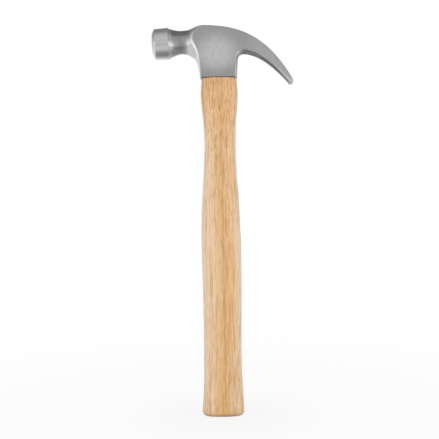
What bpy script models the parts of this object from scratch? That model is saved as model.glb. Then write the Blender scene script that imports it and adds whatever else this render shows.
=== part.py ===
"""Curved claw hammer: a forged steel head wedged onto a hardwood handle.

Metres. The origin is the middle of the flat butt end, +Z runs up the handle to the head,
+X points to the claws, the striking face looks along -X and the cheeks look along -Y and +Y.
"""

import math

import bmesh
import bpy
import numpy as np

# Whole hammer
OVERALL_LENGTH = 0.330       # butt end to the crown, the highest line of the head
FIT_GAP = 0.0003             # clearance around every seated piece

# Striking end: a round poll on a waisted neck, on an axis that droops toward the face
FACE_REACH = 0.0568          # handle axis to the middle of the striking face
FACE_FLAT_DIAMETER = 0.014   # flat middle of the crowned face
FACE_DIAMETER = 0.0218       # crowned face, inside its bevel
FACE_CROWN = 0.0006          # how far the face falls back from its middle to its bevel
FACE_BEVEL = 0.0016          # length of the bevel along the poll
POLL_DIAMETER = 0.0264
POLL_LENGTH = 0.0142         # striking face to the edge where the neck begins
NECK_DIAMETER = 0.0194       # narrowest part of the neck
NECK_REACH = 0.031           # handle axis to the narrowest part
NECK_DEPTH = 0.0125          # crown down to the neck's middle
POLL_DROOP = math.radians(3.0)
NECK_RISE = 0.0029           # how far the neck's top climbs to the crown
NECK_FALL = 0.0093           # how far its underside falls toward the socket
NECK_SPREAD = 0.67           # share of the flare over which the neck widens to the cheeks

# Cheeks and socket
CHEEK_THICKNESS = 0.025
CHEEK_RISE = 0.00008         # how far the cheeks stand out from the forging under them
CHEEK_FRONT = 0.0205         # handle axis to the cheek's foremost edge, beside the neck
CHEEK_FRONT_HANDLE = 0.0114  # how far that edge runs straight down before it curves back
SOCKET_FRONT_HANDLE = 0.0095  # how far the front wall runs up from the mouth before it curves
SOCKET_FRONT_SLANT = math.radians(11.0)
CROWN_FRONT = 0.015          # handle axis to the front end of the crown
SOCKET_FRONT = 0.0154        # handle axis to the socket's front wall, at its mouth
SOCKET_REAR = 0.0154         # handle axis to the socket's rear wall, at its mouth
SOCKET_DEPTH = 0.0434        # crown down to the socket's mouth
SOCKET_LEAN = 0.0008         # how far the rear wall leans back on its way up
EDGE_ROUND = 0.0013          # rounding of the cheeks' edges
EYE_LENGTH = 0.0245          # along X, at the mouth
EYE_WIDTH = 0.0175           # along Y, at the mouth
EYE_FLARE = 0.0005           # widening of each wall from the mouth to the crown

# Claws
CLAW_REACH = 0.063           # handle axis to the claws' tips
CLAW_DROP = 0.0477           # crown down to the claws' tips
CLAW_SLOPE = math.radians(60.0)       # steepness of the outer curve at the tips
CROWN_HANDLE = 0.035         # how far the crown runs level before it starts to curve down
CLAW_HANDLE = 0.042          # how far the outer curve is drawn out from the tips
UNDERSIDE_SLOPE = math.radians(50.0)  # steepness of the underside at the tips
UNDERSIDE_ROOT_HANDLE = 0.012
UNDERSIDE_TIP_HANDLE = 0.018
CHEEK_SHARE = 0.28           # share of the crown line that lies over the cheeks
CLAW_ROOT_SHARE = 0.42       # share of the crown line that lies ahead of the claws' root
CLAW_ROOT_DEPTH = 0.0222     # crown down to the top of the underside's curve
CLAW_ROOT_FILLET = 0.0055    # between the socket's rear wall and the underside
CLAW_ROOT_REACH = SOCKET_REAR + SOCKET_LEAN + CLAW_ROOT_FILLET
CLAW_WIDTH = 0.026           # across both claws, half way along
CLAW_TIP_WIDTH = 0.0225      # across both claws, at the tips
CLAW_TIP_THICKNESS = 0.0036
CLAW_TIP_ROUND = 0.0024      # length of the rounded end
SLOT_LENGTH = 0.027          # tips back to the root of the nail slot, along X
SLOT_MOUTH = 0.0105          # width of the nail slot between the tips
SLOT_ROOT = 0.0022           # width at its root
SLOT_BEVEL = math.radians(8.0)        # flare of each flank toward the concave side

# Handle: widths lie along X and thicknesses along Y
BUTT_WIDTH = 0.0352
BUTT_THICKNESS = 0.0258
BUTT_ROUND = 0.0028
BUTT_HEIGHT = 0.006          # butt end up to the widest part of the flare
WAIST_WIDTH = 0.0318
WAIST_THICKNESS = 0.0234
WAIST_HEIGHT = 0.052
GRIP_WIDTH = 0.0336
GRIP_THICKNESS = 0.0246
GRIP_HEIGHT = 0.143
THROAT_WIDTH = 0.0263
THROAT_THICKNESS = 0.0208
THROAT_DEPTH = 0.056         # shoulder down to the throat
SWELL_WIDTH = 0.0311
SWELL_THICKNESS = 0.0240
SWELL_DEPTH = 0.014          # shoulder down to the swell
SHOULDER_WIDTH = 0.0296
SHOULDER_THICKNESS = 0.0240
SHOULDER_ROUND = 0.0006

# Wedges that spread the tenon in the eye
TENON_RECESS = 0.0008        # crown line down to the end of the tenon
WOOD_WEDGE_DEPTH = 0.028
WOOD_WEDGE_THICKNESS = 0.0042
WOOD_WEDGE_TIP = 0.0012
STEEL_WEDGE_DEPTH = 0.016
STEEL_WEDGE_WIDTH = 0.0115
STEEL_WEDGE_THICKNESS = 0.0026
STEEL_WEDGE_TIP = 0.0009
STEEL_WEDGE_OFFSET = 0.0062  # handle axis to each steel wedge

# Fineness and shape of the lofted sections
SECTION_POINTS = 32
POLL_STEPS = 6
NECK_STEPS = 7
CHEEK_STEPS = 6
CLAW_STEPS = 12
SLOT_STEPS = 9
HANDLE_STEPS = 5
ROUNDING_STEPS = 4
TIP_ANGLES = (math.radians(35.0), math.radians(60.0))
ROUND = 2.0                  # squareness of a circle or an ellipse
NECK_SQUARENESS = 2.5
FORGED_SQUARENESS = 6.0
GRIP_SQUARENESS = 3.0
SHOULDER_SQUARENESS = 4.5
EYE_SQUARENESS = 4.0
CUT_MARGIN = 0.004           # how far a cutter runs past the surface it opens
WELD_DISTANCE = 0.000003
SHARP_ANGLE = math.radians(35.0)

# Finishes: colour, metalness and roughness
HEAD_FINISH = ((0.42, 0.42, 0.43), 1.0, 0.38)
HANDLE_FINISH = ((0.66, 0.42, 0.21), 0.0, 0.45)
WOOD_WEDGE_FINISH = ((0.55, 0.34, 0.17), 0.0, 0.6)
STEEL_WEDGE_FINISH = ((0.35, 0.35, 0.36), 1.0, 0.45)


def smooth(value):
    """S-shaped step from 0 to 1 with level ends."""
    t = min(max(value, 0.0), 1.0)
    return t * t * (3.0 - 2.0 * t)


def steps(count):
    """Equal shares of the way from 0 to 1, without 0."""
    return [step / count for step in range(1, count + 1)]


def mix(first, second, share):
    """Value at a share of the way from first to second."""
    return first + (second - first) * share


def heading(slope):
    """Unit vector of the XZ plane that runs toward the claws and falls at a slope."""
    return np.array((math.cos(slope), -math.sin(slope)))


def bezier(start, start_handle, end_handle, end, share):
    """Point on a cubic curve in the XZ plane."""
    rest = 1.0 - share
    weights = (rest**3, 3 * rest**2 * share, 3 * rest * share**2, share**3)
    points = (start, start_handle, end_handle, end)
    return sum(weight * np.array(point) for weight, point in zip(weights, points))


def crown_line(share):
    """Top line of the head from the crown's front end (0) to the claws' tips (1)."""
    start = np.array((-CROWN_FRONT, 0.0))
    end = np.array((CLAW_REACH, -CLAW_DROP))
    start_handle = start + heading(0.0) * CROWN_HANDLE
    return bezier(start, start_handle, end - heading(CLAW_SLOPE) * CLAW_HANDLE, end, share)


def claw_underside(share):
    """Underside of the claws from the top of its curve (0) to the tips (1)."""
    start = np.array((CLAW_ROOT_REACH, -CLAW_ROOT_DEPTH))
    end = np.array((CLAW_REACH - CLAW_TIP_THICKNESS, -CLAW_DROP))
    start_handle = start + heading(0.0) * UNDERSIDE_ROOT_HANDLE
    return bezier(start, start_handle, end - heading(UNDERSIDE_SLOPE) * UNDERSIDE_TIP_HANDLE, end, share)


def crown_slope():
    """Fall of the crown per metre along X, over the eye."""
    run, climb = crown_line(CHEEK_SHARE) - crown_line(0.0)
    return climb / run


def crown_height(x):
    """Height of the tenon's end at x, relative to the crown, parallel to the line above it."""
    return -TENON_RECESS + crown_slope() * (x + CROWN_FRONT)


def ring(centre, across, along, squareness):
    """Superellipse of points round a centre, with two half-axes given as vectors."""
    angles = np.linspace(0.0, 2.0 * math.pi, SECTION_POINTS, endpoint=False)
    power = 2.0 / squareness
    c = np.sign(np.cos(angles)) * np.abs(np.cos(angles)) ** power
    s = np.sign(np.sin(angles)) * np.abs(np.sin(angles)) ** power
    return np.array(centre) + np.outer(c, across) + np.outer(s, along)


def upright_ring(top, bottom, half_width, squareness):
    """Section of the head between a top and a bottom point of the XZ plane."""
    middle = (np.array(top) + np.array(bottom)) / 2.0
    half = (np.array(top) - np.array(bottom)) / 2.0
    return ring((middle[0], 0.0, middle[1]), (0.0, half_width, 0.0), (half[0], 0.0, half[1]), squareness)


def level_ring(height, width, thickness, squareness):
    """Horizontal section of the handle or of the eye."""
    return ring((0.0, 0.0, height), (width / 2.0, 0.0, 0.0), (0.0, thickness / 2.0, 0.0), squareness)


def collection(name):
    """New collection in the scene."""
    made = bpy.data.collections.new(name)
    bpy.context.scene.collection.children.link(made)
    return made


def add_object(name, mesh, height, group):
    """Object on the handle's axis at a height, in one of the two collections."""
    made = bpy.data.objects.new(name, mesh)
    made.location = (0.0, 0.0, height)
    group.objects.link(made)
    return made


def loft(name, rings, height, group):
    """Closed body through rings of equally many points, with flat ends."""
    shape = bmesh.new()
    rows = [[shape.verts.new(point) for point in points] for points in rings]
    for lower, upper in zip(rows, rows[1:]):
        count = len(lower)
        for i in range(count):
            j = (i + 1) % count
            shape.faces.new((lower[i], lower[j], upper[j], upper[i]))
    shape.faces.new(rows[0][::-1])
    shape.faces.new(rows[-1])
    bmesh.ops.recalc_face_normals(shape, faces=shape.faces)
    mesh = bpy.data.meshes.new(name)
    shape.to_mesh(mesh)
    shape.free()
    return add_object(name, mesh, height, group)


def plate(name, outline, half_thickness, height, group):
    """Flat outline in the XZ plane, thickened along Y, with rounded edges."""
    curve = bpy.data.curves.new(name, "CURVE")
    curve.dimensions = "2D"
    curve.fill_mode = "BOTH"
    curve.extrude = half_thickness - EDGE_ROUND
    curve.bevel_depth = EDGE_ROUND
    curve.bevel_resolution = 1
    curve.offset = -EDGE_ROUND
    spline = curve.splines.new("POLY")
    spline.points.add(len(outline) - 1)
    for point, (x, z) in zip(spline.points, outline):
        point.co = (x, z, 0.0, 1.0)
    spline.use_cyclic_u = True
    drawn = add_object(name + "_outline", curve, height, group)
    drawn.rotation_euler = (math.radians(90.0), 0.0, 0.0)
    bpy.context.view_layer.update()
    evaluated = drawn.evaluated_get(bpy.context.evaluated_depsgraph_get())
    mesh = bpy.data.meshes.new_from_object(evaluated)
    shape = bmesh.new()
    shape.from_mesh(mesh)
    bmesh.ops.remove_doubles(shape, verts=shape.verts, dist=WELD_DISTANCE)
    bmesh.ops.recalc_face_normals(shape, faces=shape.faces)
    shape.to_mesh(mesh)
    shape.free()
    made = bpy.data.objects.new(name, mesh)
    made.matrix_world = drawn.matrix_world
    group.objects.link(made)
    bpy.data.objects.remove(drawn)
    return made


def combine(target, tool, operation):
    """Boolean of a tool on a target; the tool is hidden from the finished part."""
    tool.hide_render = True
    tool.display_type = "WIRE"
    step = target.modifiers.new(tool.name, "BOOLEAN")
    step.operation = operation
    step.solver = "EXACT"
    step.object = tool


def finish(target, look, parent):
    """Material, smooth shading and parent of a finished piece."""
    colour, metallic, roughness = look
    material = bpy.data.materials.new(target.name)
    material.use_nodes = True
    shader = material.node_tree.nodes["Principled BSDF"]
    shader.inputs["Base Color"].default_value = (*colour, 1.0)
    shader.inputs["Metallic"].default_value = metallic
    shader.inputs["Roughness"].default_value = roughness
    target.data.materials.clear()
    target.data.materials.append(material)
    target.data.shade_smooth()
    target.data.set_sharp_from_angle(angle=SHARP_ANGLE)
    target.parent = parent


def poll_rings():
    """Crowned face, bevel, poll and the neck down to its waist, on the drooping axis."""
    forward = np.array((-math.cos(POLL_DROOP), -math.sin(POLL_DROOP)))
    up = np.array((-math.sin(POLL_DROOP), math.cos(POLL_DROOP)))
    waist = np.array((-NECK_REACH, -NECK_DEPTH))
    face = (FACE_REACH - NECK_REACH) / math.cos(POLL_DROOP)
    shoulder = face - POLL_LENGTH

    def turned(distance, radius, squareness):
        centre = waist + forward * distance
        return upright_ring(centre + up * radius, centre - up * radius, radius, squareness)

    rings = [
        turned(face, FACE_FLAT_DIAMETER / 2.0, ROUND),
        turned(face - FACE_CROWN, FACE_DIAMETER / 2.0, ROUND),
        turned(face - FACE_CROWN - FACE_BEVEL, POLL_DIAMETER / 2.0, ROUND),
        turned(shoulder, POLL_DIAMETER / 2.0, ROUND),
    ]
    for share in steps(POLL_STEPS):
        radius = mix(NECK_DIAMETER, POLL_DIAMETER, (1.0 - share) ** 2) / 2.0
        rings.append(turned(shoulder * (1.0 - share), radius, mix(ROUND, NECK_SQUARENESS, smooth(share))))
    return rings


def neck_rings(half_width):
    """Neck behind its waist, flaring up to the crown, down to the socket and out to the cheeks."""
    rings = []
    waist = NECK_DIAMETER / 2.0
    for share in steps(NECK_STEPS):
        x = mix(-NECK_REACH, -CROWN_FRONT, share)
        top = -NECK_DEPTH + waist + NECK_RISE * smooth(share)
        bottom = -NECK_DEPTH - waist - NECK_FALL * share**2
        width = mix(waist, half_width, smooth(share / NECK_SPREAD))
        squareness = mix(NECK_SQUARENESS, FORGED_SQUARENESS, share)
        rings.append(upright_ring((x, top), (x, bottom), width, squareness))
    return rings


def claw_rings(half_width):
    """Crown over the cheeks, then the curved claws down to their rounded tips."""
    rings = []
    floor = -NECK_DEPTH - NECK_DIAMETER / 2.0 - NECK_FALL
    for share in steps(CHEEK_STEPS):
        bottom = mix(np.array((-CROWN_FRONT, floor)), claw_underside(0.0), share)
        top = crown_line(CLAW_ROOT_SHARE * share)
        rings.append(upright_ring(top, bottom, half_width, FORGED_SQUARENESS))
    for share in steps(CLAW_STEPS):
        spread = mix(half_width, CLAW_WIDTH / 2.0, smooth(2.0 * share))
        width = mix(spread, CLAW_TIP_WIDTH / 2.0, smooth(2.0 * share - 1.0))
        top = crown_line(mix(CLAW_ROOT_SHARE, 1.0, share))
        rings.append(upright_ring(top, claw_underside(share), width, FORGED_SQUARENESS))
    end = (crown_line(1.0) + claw_underside(1.0)) / 2.0
    half = (crown_line(1.0) - claw_underside(1.0)) / 2.0
    for angle in TIP_ANGLES:
        middle = end + heading(CLAW_SLOPE) * CLAW_TIP_ROUND * math.sin(angle)
        size = half * math.cos(angle)
        width = CLAW_TIP_WIDTH / 2.0 - CLAW_TIP_ROUND * (1.0 - math.cos(angle))
        rings.append(upright_ring(middle + size, middle - size, width, FORGED_SQUARENESS))
    return rings


def socket_outline():
    """Side outline of the cheeks and the socket, with the fillet under the claws' root."""
    mouth = -SOCKET_DEPTH
    under = -CLAW_ROOT_DEPTH - CLAW_ROOT_FILLET
    points = [(-SOCKET_FRONT, mouth), (SOCKET_REAR, mouth), (SOCKET_REAR + SOCKET_LEAN, under)]
    for share in steps(ROUNDING_STEPS):
        angle = math.radians(90.0) * share
        x = CLAW_ROOT_REACH - CLAW_ROOT_FILLET * math.cos(angle)
        points.append((x, under + CLAW_ROOT_FILLET * math.sin(angle)))
    points.append((CLAW_ROOT_REACH, under + 2.0 * CLAW_ROOT_FILLET))
    for share in steps(ROUNDING_STEPS):
        x, z = crown_line(CHEEK_SHARE * (1.0 - share))
        points.append((x, z - EDGE_ROUND))
    for share in steps(ROUNDING_STEPS):
        angle = math.radians(90.0) * share
        x = -mix(CROWN_FRONT, CHEEK_FRONT, math.sin(angle))
        points.append((x, -mix(NECK_DEPTH, EDGE_ROUND, math.cos(angle))))
    front = np.array((-CHEEK_FRONT, -NECK_DEPTH))
    end = np.array((-SOCKET_FRONT, mouth))
    front_handle = front + heading(math.radians(90.0)) * CHEEK_FRONT_HANDLE
    end_handle = end - heading(math.radians(90.0) - SOCKET_FRONT_SLANT) * SOCKET_FRONT_HANDLE
    for share in steps(CHEEK_STEPS)[:-1]:
        points.append(tuple(bezier(front, front_handle, end_handle, end, share)))
    return points


def slot_rings():
    """Nail slot: a tapering cut through the claws that is wider on their concave side."""
    rings = []
    root_share = 1.0 - SLOT_LENGTH / (CLAW_REACH - CLAW_ROOT_REACH)
    for share in [0.0] + steps(SLOT_STEPS):
        claw_share = mix(root_share, 1.0, share)
        outer = crown_line(mix(CLAW_ROOT_SHARE, 1.0, claw_share))
        inner = claw_underside(claw_share)
        through = outer - inner
        thickness = math.hypot(*through)
        through = through / thickness
        outer = outer + through * CUT_MARGIN
        inner = inner - through * CUT_MARGIN
        narrow = mix(SLOT_ROOT, SLOT_MOUTH, share) / 2.0
        wide = narrow + (thickness + 2.0 * CUT_MARGIN) * math.tan(SLOT_BEVEL)
        rings.append(trapezoid(outer, inner, narrow, wide))
    onward = heading(CLAW_SLOPE) * (CLAW_TIP_ROUND + CUT_MARGIN)
    rings.append(trapezoid(outer + onward, inner + onward, narrow, wide))
    return rings


def trapezoid(outer, inner, narrow, wide):
    """Four corners of a slot's section: narrow at its outer point, wide at its inner point."""
    return [
        (outer[0], narrow, outer[1]),
        (outer[0], -narrow, outer[1]),
        (inner[0], -wide, inner[1]),
        (inner[0], wide, inner[1]),
    ]


def eye_size(depth):
    """Length and width of the eye at a depth below the crown."""
    share = 1.0 - depth / SOCKET_DEPTH
    return EYE_LENGTH + 2.0 * EYE_FLARE * share, EYE_WIDTH + 2.0 * EYE_FLARE * share


def eye_rings():
    """Eye through the head, run past the crown and past the mouth."""
    return [
        level_ring(-depth, *eye_size(depth), EYE_SQUARENESS)
        for depth in (SOCKET_DEPTH + CUT_MARGIN, -CUT_MARGIN)
    ]


def handle_rings(shoulder):
    """Handle from its rounded butt edge to the shoulder, then the tenon up to the crown."""
    keys = (
        (BUTT_HEIGHT, BUTT_WIDTH, BUTT_THICKNESS, GRIP_SQUARENESS),
        (WAIST_HEIGHT, WAIST_WIDTH, WAIST_THICKNESS, GRIP_SQUARENESS),
        (GRIP_HEIGHT, GRIP_WIDTH, GRIP_THICKNESS, GRIP_SQUARENESS),
        (shoulder - THROAT_DEPTH, THROAT_WIDTH, THROAT_THICKNESS, GRIP_SQUARENESS),
        (shoulder - SWELL_DEPTH, SWELL_WIDTH, SWELL_THICKNESS, SHOULDER_SQUARENESS),
        (shoulder - SHOULDER_ROUND, SHOULDER_WIDTH, SHOULDER_THICKNESS, SHOULDER_SQUARENESS),
    )
    rings = []
    for share in reversed(steps(ROUNDING_STEPS)):
        angle = math.radians(90.0) * share
        cut = 2.0 * BUTT_ROUND * (1.0 - math.cos(angle))
        height = BUTT_ROUND * (1.0 - math.sin(angle))
        rings.append(level_ring(height, BUTT_WIDTH - cut, BUTT_THICKNESS - cut, GRIP_SQUARENESS))
    rings.append(level_ring(*keys[0]))
    for low, high in zip(keys, keys[1:]):
        for share in steps(HANDLE_STEPS):
            height = mix(low[0], high[0], share)
            sizes = [mix(a, b, smooth(share)) for a, b in zip(low[1:], high[1:])]
            rings.append(level_ring(height, *sizes))
    edge = 2.0 * SHOULDER_ROUND
    top = (SHOULDER_WIDTH - edge, SHOULDER_THICKNESS - edge)
    rings.append(level_ring(shoulder, *top, SHOULDER_SQUARENESS))
    for depth in (SOCKET_DEPTH, 0.0):
        length, width = (size - 2.0 * FIT_GAP for size in eye_size(depth))
        rings.append(level_ring(shoulder, length, width, EYE_SQUARENESS))
    end = rings[-1]
    end[:, 2] = OVERALL_LENGTH + crown_height(end[:, 0])
    return rings


def wedge_rings(offset, tip, top, depth, grow, rise):
    """Tapered wedge on the tenon's sloping end; tip and top are its sizes along X and Y.

    A cut for it is grown on every side and rises past the tenon's end along the same flanks.
    """
    rings = []
    for drop in (depth + grow, -rise):
        size = [mix(high, low, drop / depth) / 2.0 + grow for low, high in zip(tip, top)]
        corners = ((1, 1), (-1, 1), (-1, -1), (1, -1))
        points = [(offset + a * size[0], b * size[1]) for a, b in corners]
        rings.append([(x, y, crown_height(x) - drop) for x, y in points])
    return rings


def wood_wedge(grow, rise, through):
    """Rings of the wooden wedge, or of its kerf when grown and run through the tenon's ends."""
    length = EYE_LENGTH - 2.0 * FIT_GAP + 2.0 * through
    tip = (length, WOOD_WEDGE_TIP)
    return wedge_rings(0.0, tip, (length, WOOD_WEDGE_THICKNESS), WOOD_WEDGE_DEPTH, grow, rise)


def steel_wedge(offset, grow, rise):
    """Rings of a steel wedge across the tenon, or of its notch when grown."""
    tip = (STEEL_WEDGE_TIP, STEEL_WEDGE_WIDTH)
    top = (STEEL_WEDGE_THICKNESS, STEEL_WEDGE_WIDTH)
    return wedge_rings(offset, tip, top, STEEL_WEDGE_DEPTH, grow, rise)


def build():
    """All pieces, in the collection of the finished hammer, with their cutters in another."""
    for old in list(bpy.data.objects):
        bpy.data.objects.remove(old)
    pieces = collection("curved_claw_hammer")
    cutters = collection("cutters")
    hammer = bpy.data.objects.new("hammer", None)
    pieces.objects.link(hammer)

    half_cheek = CHEEK_THICKNESS / 2.0
    inner_half = half_cheek - CHEEK_RISE
    crown = OVERALL_LENGTH

    head = loft("head", poll_rings() + neck_rings(inner_half) + claw_rings(inner_half), crown, pieces)
    combine(head, plate("socket_block", socket_outline(), half_cheek, crown, cutters), "UNION")
    combine(head, loft("eye_cut", eye_rings(), crown, cutters), "DIFFERENCE")
    combine(head, loft("nail_slot_cut", slot_rings(), crown, cutters), "DIFFERENCE")
    finish(head, HEAD_FINISH, hammer)

    shoulder = OVERALL_LENGTH - SOCKET_DEPTH - FIT_GAP
    handle = loft("handle", handle_rings(shoulder), 0.0, pieces)
    kerf = loft("kerf_cut", wood_wedge(FIT_GAP, CUT_MARGIN, CUT_MARGIN), crown, cutters)
    combine(handle, kerf, "DIFFERENCE")
    finish(handle, HANDLE_FINISH, hammer)

    wood = loft("wooden_wedge", wood_wedge(0.0, 0.0, 0.0), crown, pieces)
    finish(wood, WOOD_WEDGE_FINISH, hammer)

    for place, side in (("front", -1.0), ("rear", 1.0)):
        name = "steel_wedge_" + place
        offset = side * STEEL_WEDGE_OFFSET
        steel = loft(name, steel_wedge(offset, 0.0, 0.0), crown, pieces)
        finish(steel, STEEL_WEDGE_FINISH, hammer)
        notch = loft(name + "_notch", steel_wedge(offset, FIT_GAP, CUT_MARGIN), crown, cutters)
        combine(handle, notch, "DIFFERENCE")
        combine(wood, notch, "DIFFERENCE")


build()
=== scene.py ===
"""Curved claw hammer, dressed: forged steel head, lacquered wooden handle and the wedges in its eye.

Metres. The origin is the middle of the butt end, +Z runs up the handle, +X points to the claws
and the striking face looks along -X. Every new piece is a surface worked out with numpy on a grid.
"""

import logging
import math
from dataclasses import dataclass
from enum import Enum

import bmesh
import bpy
import numpy as np
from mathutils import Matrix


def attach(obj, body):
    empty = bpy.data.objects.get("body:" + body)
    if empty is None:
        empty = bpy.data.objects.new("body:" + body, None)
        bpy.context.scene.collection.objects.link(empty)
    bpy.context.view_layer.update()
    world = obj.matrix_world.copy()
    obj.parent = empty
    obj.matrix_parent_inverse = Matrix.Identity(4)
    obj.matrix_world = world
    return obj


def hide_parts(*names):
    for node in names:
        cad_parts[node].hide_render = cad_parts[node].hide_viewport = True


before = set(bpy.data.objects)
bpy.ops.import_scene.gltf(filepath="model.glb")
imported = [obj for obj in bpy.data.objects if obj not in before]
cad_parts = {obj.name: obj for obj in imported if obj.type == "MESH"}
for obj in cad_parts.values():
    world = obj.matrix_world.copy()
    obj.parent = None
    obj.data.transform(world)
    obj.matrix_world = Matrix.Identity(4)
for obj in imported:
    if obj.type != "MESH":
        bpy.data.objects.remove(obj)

LOG = logging.getLogger("claw_hammer")
BODY = "root"
SHARP_ANGLE = math.radians(38.0)
QUARTER = math.pi / 2.0
ORIGIN = (0.0, 0.0, 0.0)
WHITE = (1.0, 1.0, 1.0)
ROUND_POINTS = 6  # on each rounded corner of an outline
LINE_POINTS = 400  # on a curve that is read by interpolation
RIM_POINTS = 13  # across half of a section's top or bottom
CORNER_POINTS = 8  # round each corner of a section
SIDE_POINTS = 46  # up the side of a section
CROWN = 0.3303  # top of the head, over the eye
FLATS = 8  # round the neck
FLAT_POWER = 34.0  # how crisp their edges are

Point = tuple[float, float]
Span = tuple[float, float]
Step = tuple[float, float, float, float]
Line = tuple[Point, ...]
Vector = tuple[float, float, float]
Colour = tuple[float, float, float]
Array = np.ndarray
Piece = bpy.types.Object
Material = bpy.types.Material


class Place(Enum):
    """Where a steel wedge sits in the tenon, as the sign of its X."""

    FRONT = -1.0
    REAR = 1.0


def rising(low: float, high: float, value: Array) -> Array:
    """S-shaped step between two bounds: three squares less two cubes of the share of the way."""
    share = np.clip((value - low) / (high - low), 0.0, 1.0)
    return share * share * (3.0 - 2.0 * share)


def falling(low: float, high: float, value: Array) -> Array:
    """The same step downward."""
    return 1.0 - rising(low, high, value)


def eased(shares: Array) -> Array:
    """Shares drawn toward 0 and 1: half of one minus the cosine of half a turn."""
    return 0.5 - 0.5 * np.cos(math.pi * shares)


def mixed(first: Array | float, last: Array | float, share: Array) -> Array:
    """Value at a share of the way from the first to the last."""
    return first + (last - first) * share


def soft_min(first: Array, second: Array, blend: Array) -> Array:
    """Smaller of two values, less a parabola where they differ by less than blend."""
    near = np.maximum(blend - np.abs(first - second), 0.0)
    return np.minimum(first, second) - near * near / (4.0 * blend)


def bezier(points: Line, t: Array) -> Array:
    """Cubic in the XZ plane: start, two handles and end, weighted by Bernstein polynomials of t."""
    rest = 1.0 - t
    return np.stack((rest**3, 3 * rest**2 * t, 3 * rest * t**2, t**3), axis=1) @ np.array(points)


def gap_to_line(points: Array, line: Array) -> Array:
    """Distance of points from a polyline: the least of the distances from its straight pieces.

    Args:
        points: Points of the XZ plane, in an array of any shape that ends in 2.
        line: Points of the polyline, one row each.

    Returns:
        Distances.
    """
    step = np.diff(line, axis=0)
    away = points[..., None, :] - line[:-1]
    share = np.clip(np.sum(away * step, axis=-1) / np.sum(step * step, axis=-1), 0.0, 1.0)
    return np.linalg.norm(away - share[..., None] * step, axis=-1).min(axis=-1)


def trimmed(corners: Array, trims: tuple[float, ...]) -> Array:
    """Polyline with rounded corners: a parabola from trim before each corner to trim after it.

    Args:
        corners: Corner points, one row each; the first and the last are kept.
        trims: Length cut from both sides of each inner corner.

    Returns:
        Points of the rounded line.
    """
    inner = corners[1:-1]
    before = corners[:-2] - inner
    after = corners[2:] - inner
    before *= (trims / np.linalg.norm(before, axis=1))[:, None]
    after *= (trims / np.linalg.norm(after, axis=1))[:, None]
    share = np.linspace(0.0, 1.0, ROUND_POINTS)[None, :, None]
    bends = inner[:, None] + before[:, None] * (1.0 - share) ** 2 + after[:, None] * share**2
    return np.concatenate((corners[:1], bends.reshape(-1, 2), corners[-1:]))


def smooth_curve(at: Array, knots: Array, values: Array) -> Array:
    """Cubic through knots whose slopes are the harmonic means of their neighbours' slopes.

    Args:
        at: Places to read the curve at; past its ends it stays level.
        knots: Rising places of the knots.
        values: Values at the knots.

    Returns:
        Values that never swing past the knots between them.
    """
    at = np.clip(at, knots[0], knots[-1])
    gap = np.diff(knots)
    rise = np.diff(values) / gap
    product = rise[:-1] * rise[1:]
    total = rise[:-1] + rise[1:]
    inner = np.where(product > 0.0, 2.0 * product / np.where(total == 0.0, 1.0, total), 0.0)
    slope = np.concatenate((rise[:1], inner, rise[-1:]))
    index = np.clip(np.searchsorted(knots, at) - 1, 0, len(gap) - 1)
    width = gap[index]
    t = (at - knots[index]) / width
    start = values[index] * (2 * t**3 - 3 * t**2 + 1) + slope[index] * width * (t**3 - 2 * t**2 + t)
    end = values[index + 1] * (3 * t**2 - 2 * t**3) + slope[index + 1] * width * (t**3 - t**2)
    return start + end


def upright(flat: Array, y: Array) -> Array:
    """Points of the XZ plane moved out to a distance along Y."""
    return np.stack((flat[..., 0], y, flat[..., 1]), axis=-1)


def superellipse(count: int, power: Array | float) -> tuple[Array, Array]:
    """Signed powers of the cosine and the sine round a turn: 1 for an ellipse, less for a squarer shape."""
    angle = np.linspace(0.0, 2.0 * math.pi, count, endpoint=False)
    return tuple(np.sign(wave) * np.abs(wave) ** power for wave in (np.cos(angle), np.sin(angle)))


def added(name: str, data: bpy.types.ID) -> Piece:
    """Puts a mesh, a light or a camera into the scene.

    Args:
        name: Name of the object.
        data: What it shows.

    Returns:
        Object at the origin.
    """
    made = bpy.data.objects.new(name, data)
    bpy.context.scene.collection.objects.link(made)
    return made


def lofted(name: str, rings: Array, start: Array, end: Array) -> Piece:
    """Closed mesh through rings of points, drawn together to a pole at either end.

    Args:
        name: Name of the object.
        rings: Points as rows of rings, of shape (rings, points, 3).
        start: Pole before the first ring.
        end: Pole after the last ring.

    Returns:
        Object at the origin, with its faces outward.
    """
    count, around = rings.shape[:2]
    grid = np.arange(count * around).reshape(count, around)
    turned = np.roll(grid, -1, axis=1)
    quads = np.stack((grid[:-1], turned[:-1], turned[1:], grid[1:]), axis=-1).reshape(-1, 4)
    pole = np.full(around, count * around)
    first = np.stack((pole, turned[0], grid[0]), axis=1)
    last = np.stack((pole + 1, grid[-1], turned[-1]), axis=1)
    points = np.concatenate((rings.reshape(-1, 3), [start, end]))
    mesh = bpy.data.meshes.new(name)
    mesh.from_pydata(points.tolist(), [], quads.tolist() + first.tolist() + last.tolist())
    shape = bmesh.new()
    shape.from_mesh(mesh)
    bmesh.ops.recalc_face_normals(shape, faces=shape.faces)
    shape.to_mesh(mesh)
    shape.free()
    return added(name, mesh)


def carve(target: Piece, cutters: list[Piece]) -> None:
    """Cuts shapes out of a piece for good and removes the cutters.

    Args:
        target: Piece to cut.
        cutters: Closed shapes to take away.
    """
    for cutter in cutters:
        step = target.modifiers.new(cutter.name, "BOOLEAN")
        step.operation = "DIFFERENCE"
        step.solver = "EXACT"
        step.object = cutter
    bpy.context.view_layer.update()
    evaluated = target.evaluated_get(bpy.context.evaluated_depsgraph_get())
    cut = bpy.data.meshes.new_from_object(evaluated)
    target.modifiers.clear()
    target.data = cut
    for cutter in cutters:
        bpy.data.objects.remove(cutter)


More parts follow.
